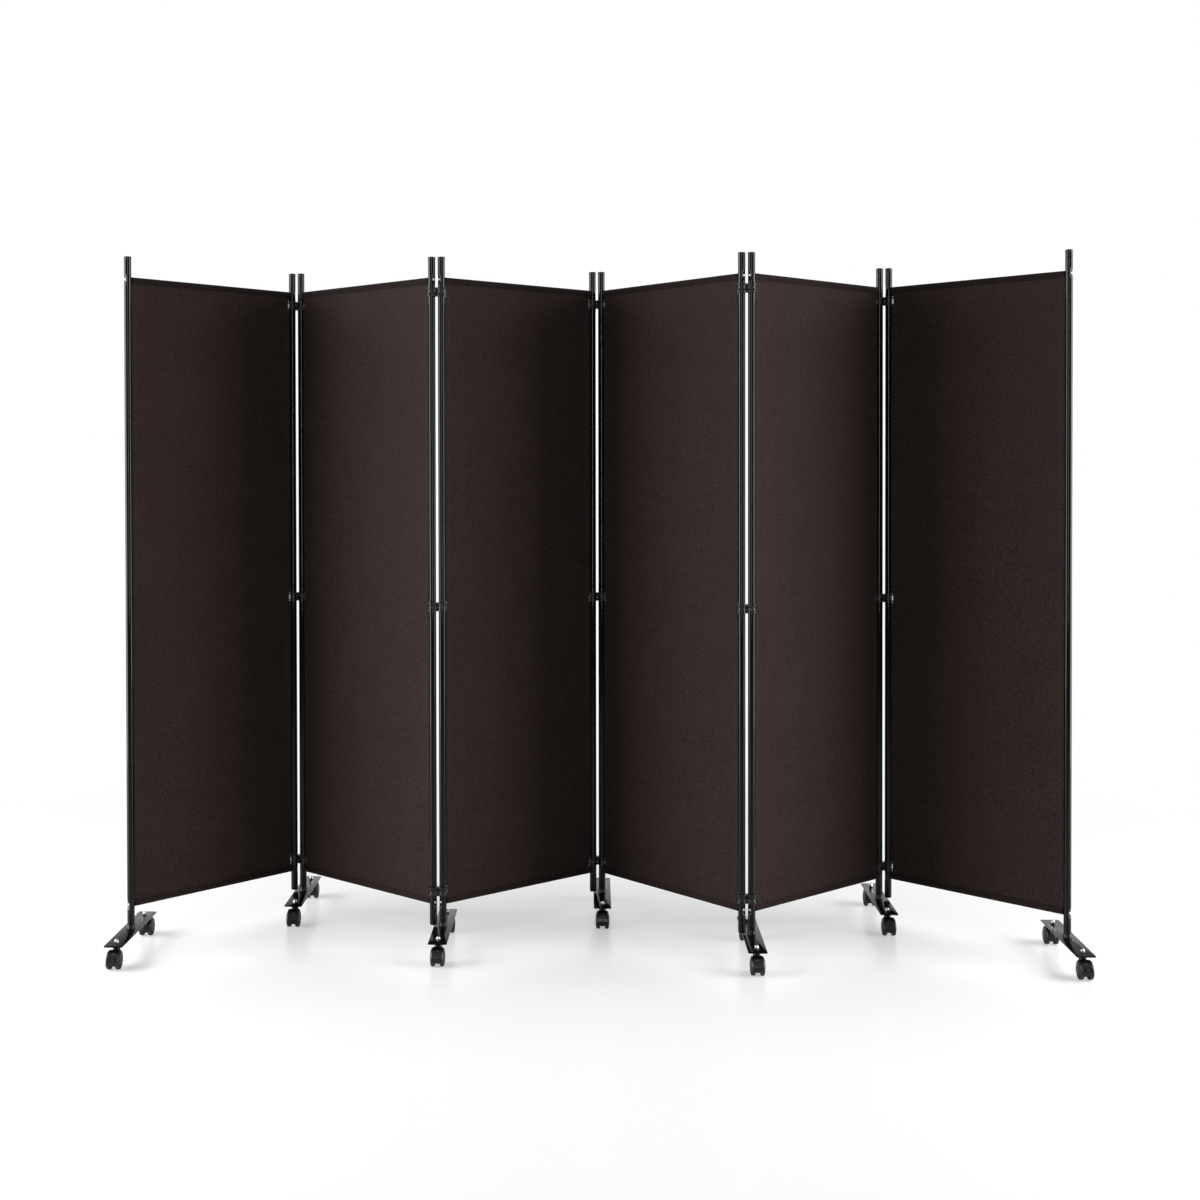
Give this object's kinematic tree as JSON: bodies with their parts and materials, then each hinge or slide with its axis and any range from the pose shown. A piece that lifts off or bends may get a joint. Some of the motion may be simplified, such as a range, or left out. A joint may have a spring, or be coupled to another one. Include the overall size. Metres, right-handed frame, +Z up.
{
  "type": "rolling room divider",
  "caption": "Tall folding screen of dark fabric panels on slim black posts, joined by hinge clips and standing on narrow foot plates with twin-wheel casters.",
  "frame": {"origin": "on the floor, under the middle of the screen's bounding box", "axes": "+X along the screen from its left end to its right end, +Y to its back, +Z up"},
  "size_m": [2.3478, 0.6802, 1.727],
  "materials": {
    "post": "gloss black",
    "rail": "satin black",
    "fabric": "plain weave, dark brown",
    "clip": "satin black",
    "foot": "gloss black",
    "caster": "satin black",
    "wheel": "satin black"
  },
  "bodies": {
    "panel_1": {"panel_1_posts": "post", "panel_1_rails": "rail", "panel_1_fabric": "fabric"},
    "panel_2": {"panel_2_posts": "post", "panel_2_rails": "rail", "panel_2_fabric": "fabric"},
    "panel_3": {"panel_3_posts": "post", "panel_3_rails": "rail", "panel_3_fabric": "fabric"},
    "panel_4": {"panel_4_posts": "post", "panel_4_rails": "rail", "panel_4_fabric": "fabric"},
    "panel_5": {"panel_5_posts": "post", "panel_5_rails": "rail", "panel_5_fabric": "fabric"},
    "panel_6": {"panel_6_posts": "post", "panel_6_rails": "rail", "panel_6_fabric": "fabric"},
    "clips_1": {"clips_1": "clip"},
    "clips_2": {"clips_2": "clip"},
    "clips_3": {"clips_3": "clip"},
    "clips_4": {"clips_4": "clip"},
    "clips_5": {"clips_5": "clip"},
    "foot_1": {"foot_1": "foot"},
    "foot_2": {"foot_2": "foot"},
    "foot_3": {"foot_3": "foot"},
    "foot_4": {"foot_4": "foot"},
    "foot_5": {"foot_5": "foot"},
    "foot_6": {"foot_6": "foot"},
    "foot_7": {"foot_7": "foot"},
    "caster_1": {"caster_1_hood": "caster"},
    "wheels_1": {"caster_1_wheels": "wheel"},
    "caster_2": {"caster_2_hood": "caster"},
    "wheels_2": {"caster_2_wheels": "wheel"},
    "caster_3": {"caster_3_hood": "caster"},
    "wheels_3": {"caster_3_wheels": "wheel"},
    "caster_4": {"caster_4_hood": "caster"},
    "wheels_4": {"caster_4_wheels": "wheel"},
    "caster_5": {"caster_5_hood": "caster"},
    "wheels_5": {"caster_5_wheels": "wheel"},
    "caster_6": {"caster_6_hood": "caster"},
    "wheels_6": {"caster_6_wheels": "wheel"},
    "caster_7": {"caster_7_hood": "caster"},
    "wheels_7": {"caster_7_wheels": "wheel"},
    "caster_8": {"caster_8_hood": "caster"},
    "wheels_8": {"caster_8_wheels": "wheel"},
    "caster_9": {"caster_9_hood": "caster"},
    "wheels_9": {"caster_9_wheels": "wheel"},
    "caster_10": {"caster_10_hood": "caster"},
    "wheels_10": {"caster_10_wheels": "wheel"},
    "caster_11": {"caster_11_hood": "caster"},
    "wheels_11": {"caster_11_wheels": "wheel"},
    "caster_12": {"caster_12_hood": "caster"},
    "wheels_12": {"caster_12_wheels": "wheel"},
    "caster_13": {"caster_13_hood": "caster"},
    "wheels_13": {"caster_13_wheels": "wheel"},
    "caster_14": {"caster_14_hood": "caster"},
    "wheels_14": {"caster_14_wheels": "wheel"}
  },
  "joints": [
    {"name": "panel_1_hinge", "type": "hinge", "parent": "clips_1", "child": "panel_1", "pos_m": [-0.81055, 0.16959, 0.856], "axis": [0, 0, -1], "range_deg": [-39, 131]},
    {"name": "clips_1_hinge", "type": "hinge", "parent": "panel_2", "child": "clips_1", "pos_m": [-0.78655, 0.16959, 0.856], "axis": [0, 0, -1], "range_deg": [-47, 123]},
    {"name": "panel_2_hinge", "type": "hinge", "parent": "clips_2", "child": "panel_2", "pos_m": [-0.40043, -0.13208, 0.856], "axis": [0, 0, 1], "range_deg": [-47, 123]},
    {"name": "clips_2_hinge", "type": "hinge", "parent": "panel_3", "child": "clips_2", "pos_m": [-0.37643, -0.13208, 0.856], "axis": [0, 0, 1], "range_deg": [-45, 125]},
    {"name": "panel_3_hinge", "type": "hinge", "parent": "clips_3", "child": "panel_3", "pos_m": [-0.00106, 0.18288, 0.856], "axis": [0, 0, -1], "range_deg": [-45, 125]},
    {"name": "panel_4_hinge", "type": "hinge", "parent": "clips_3", "child": "panel_4", "pos_m": [0.02294, 0.18288, 0.856], "axis": [0, 0, 1], "range_deg": [-39, 131]},
    {"name": "clips_4_hinge", "type": "hinge", "parent": "panel_4", "child": "clips_4", "pos_m": [0.36332, -0.16959, 0.856], "axis": [0, 0, -1], "range_deg": [-39, 131]},
    {"name": "panel_5_hinge", "type": "hinge", "parent": "clips_4", "child": "panel_5", "pos_m": [0.38732, -0.16959, 0.856], "axis": [0, 0, -1], "range_deg": [-44, 126]},
    {"name": "clips_5_hinge", "type": "hinge", "parent": "panel_5", "child": "clips_5", "pos_m": [0.75713, 0.15188, 0.856], "axis": [0, 0, 1], "range_deg": [-44, 126]},
    {"name": "panel_6_hinge", "type": "hinge", "parent": "clips_5", "child": "panel_6", "pos_m": [0.78113, 0.15188, 0.856], "axis": [0, 0, 1], "range_deg": [-44, 126]},
    {"name": "foot_1_turn", "type": "hinge", "parent": "panel_1", "child": "foot_1", "pos_m": [-1.15093, -0.18288, 0.0575], "axis": [0, 0, 1], "range_deg": [-44, 136]},
    {"name": "caster_1_swivel", "type": "hinge", "parent": "foot_1", "child": "caster_1", "pos_m": [-1.15093, -0.29788, 0.048], "axis": [0, 0, 1], "continuous": true},
    {"name": "wheels_1_spin", "type": "hinge", "parent": "caster_1", "child": "wheels_1", "pos_m": [-1.15093, -0.31588, 0.021], "axis": [1, 0, 0], "continuous": true},
    {"name": "caster_2_swivel", "type": "hinge", "parent": "foot_1", "child": "caster_2", "pos_m": [-1.15093, -0.06788, 0.048], "axis": [0, 0, 1], "continuous": true},
    {"name": "wheels_2_spin", "type": "hinge", "parent": "caster_2", "child": "wheels_2", "pos_m": [-1.15093, -0.04988, 0.021], "axis": [1, 0, 0], "continuous": true},
    {"name": "foot_2_turn", "type": "hinge", "parent": "panel_2", "child": "foot_2", "pos_m": [-0.78655, 0.16959, 0.0575], "axis": [0, 0, -1], "range_deg": [-52, 128]},
    {"name": "caster_3_swivel", "type": "hinge", "parent": "foot_2", "child": "caster_3", "pos_m": [-0.78655, 0.05459, 0.048], "axis": [0, 0, 1], "continuous": true},
    {"name": "wheels_3_spin", "type": "hinge", "parent": "caster_3", "child": "wheels_3", "pos_m": [-0.78655, 0.03659, 0.021], "axis": [1, 0, 0], "continuous": true},
    {"name": "caster_4_swivel", "type": "hinge", "parent": "foot_2", "child": "caster_4", "pos_m": [-0.78655, 0.28459, 0.048], "axis": [0, 0, 1], "continuous": true},
    {"name": "wheels_4_spin", "type": "hinge", "parent": "caster_4", "child": "wheels_4", "pos_m": [-0.78655, 0.30259, 0.021], "axis": [1, 0, 0], "continuous": true},
    {"name": "foot_3_turn", "type": "hinge", "parent": "panel_3", "child": "foot_3", "pos_m": [-0.37643, -0.13208, 0.0575], "axis": [0, 0, 1], "range_deg": [-50, 130]},
    {"name": "caster_5_swivel", "type": "hinge", "parent": "foot_3", "child": "caster_5", "pos_m": [-0.37643, -0.24708, 0.048], "axis": [0, 0, 1], "continuous": true},
    {"name": "wheels_5_spin", "type": "hinge", "parent": "caster_5", "child": "wheels_5", "pos_m": [-0.37643, -0.26508, 0.021], "axis": [1, 0, 0], "continuous": true},
    {"name": "caster_6_swivel", "type": "hinge", "parent": "foot_3", "child": "caster_6", "pos_m": [-0.37643, -0.01708, 0.048], "axis": [0, 0, 1], "continuous": true},
    {"name": "wheels_6_spin", "type": "hinge", "parent": "caster_6", "child": "wheels_6", "pos_m": [-0.37643, 0.00092, 0.021], "axis": [1, 0, 0], "continuous": true},
    {"name": "foot_4_turn", "type": "hinge", "parent": "panel_4", "child": "foot_4", "pos_m": [0.02294, 0.18288, 0.0575], "axis": [0, 0, -1], "range_deg": [-44, 136]},
    {"name": "caster_7_swivel", "type": "hinge", "parent": "foot_4", "child": "caster_7", "pos_m": [0.02294, 0.06788, 0.048], "axis": [0, 0, 1], "continuous": true},
    {"name": "wheels_7_spin", "type": "hinge", "parent": "caster_7", "child": "wheels_7", "pos_m": [0.02294, 0.04988, 0.021], "axis": [1, 0, 0], "continuous": true},
    {"name": "caster_8_swivel", "type": "hinge", "parent": "foot_4", "child": "caster_8", "pos_m": [0.02294, 0.29788, 0.048], "axis": [0, 0, 1], "continuous": true},
    {"name": "wheels_8_spin", "type": "hinge", "parent": "caster_8", "child": "wheels_8", "pos_m": [0.02294, 0.31588, 0.021], "axis": [1, 0, 0], "continuous": true},
    {"name": "foot_5_turn", "type": "hinge", "parent": "panel_5", "child": "foot_5", "pos_m": [0.38732, -0.16959, 0.0575], "axis": [0, 0, 1], "range_deg": [-49, 131]},
    {"name": "caster_9_swivel", "type": "hinge", "parent": "foot_5", "child": "caster_9", "pos_m": [0.38732, -0.28459, 0.048], "axis": [0, 0, 1], "continuous": true},
    {"name": "wheels_9_spin", "type": "hinge", "parent": "caster_9", "child": "wheels_9", "pos_m": [0.38732, -0.30259, 0.021], "axis": [1, 0, 0], "continuous": true},
    {"name": "caster_10_swivel", "type": "hinge", "parent": "foot_5", "child": "caster_10", "pos_m": [0.38732, -0.05459, 0.048], "axis": [0, 0, 1], "continuous": true},
    {"name": "wheels_10_spin", "type": "hinge", "parent": "caster_10", "child": "wheels_10", "pos_m": [0.38732, -0.03659, 0.021], "axis": [1, 0, 0], "continuous": true},
    {"name": "foot_6_turn", "type": "hinge", "parent": "panel_5", "child": "foot_6", "pos_m": [0.75713, 0.15188, 0.0575], "axis": [0, 0, 1], "range_deg": [-49, 131]},
    {"name": "caster_11_swivel", "type": "hinge", "parent": "foot_6", "child": "caster_11", "pos_m": [0.75713, 0.03688, 0.048], "axis": [0, 0, 1], "continuous": true},
    {"name": "wheels_11_spin", "type": "hinge", "parent": "caster_11", "child": "wheels_11", "pos_m": [0.75713, 0.01888, 0.021], "axis": [1, 0, 0], "continuous": true},
    {"name": "caster_12_swivel", "type": "hinge", "parent": "foot_6", "child": "caster_12", "pos_m": [0.75713, 0.26688, 0.048], "axis": [0, 0, 1], "continuous": true},
    {"name": "wheels_12_spin", "type": "hinge", "parent": "caster_12", "child": "wheels_12", "pos_m": [0.75713, 0.28488, 0.021], "axis": [1, 0, 0], "continuous": true},
    {"name": "foot_7_turn", "type": "hinge", "parent": "panel_6", "child": "foot_7", "pos_m": [1.15093, -0.16959, 0.0575], "axis": [0, 0, -1], "range_deg": [-49, 131]},
    {"name": "caster_13_swivel", "type": "hinge", "parent": "foot_7", "child": "caster_13", "pos_m": [1.15093, -0.28459, 0.048], "axis": [0, 0, 1], "continuous": true},
    {"name": "wheels_13_spin", "type": "hinge", "parent": "caster_13", "child": "wheels_13", "pos_m": [1.15093, -0.30259, 0.021], "axis": [1, 0, 0], "continuous": true},
    {"name": "caster_14_swivel", "type": "hinge", "parent": "foot_7", "child": "caster_14", "pos_m": [1.15093, -0.05459, 0.048], "axis": [0, 0, 1], "continuous": true},
    {"name": "wheels_14_spin", "type": "hinge", "parent": "caster_14", "child": "wheels_14", "pos_m": [1.15093, -0.03659, 0.021], "axis": [1, 0, 0], "continuous": true}
  ]
}
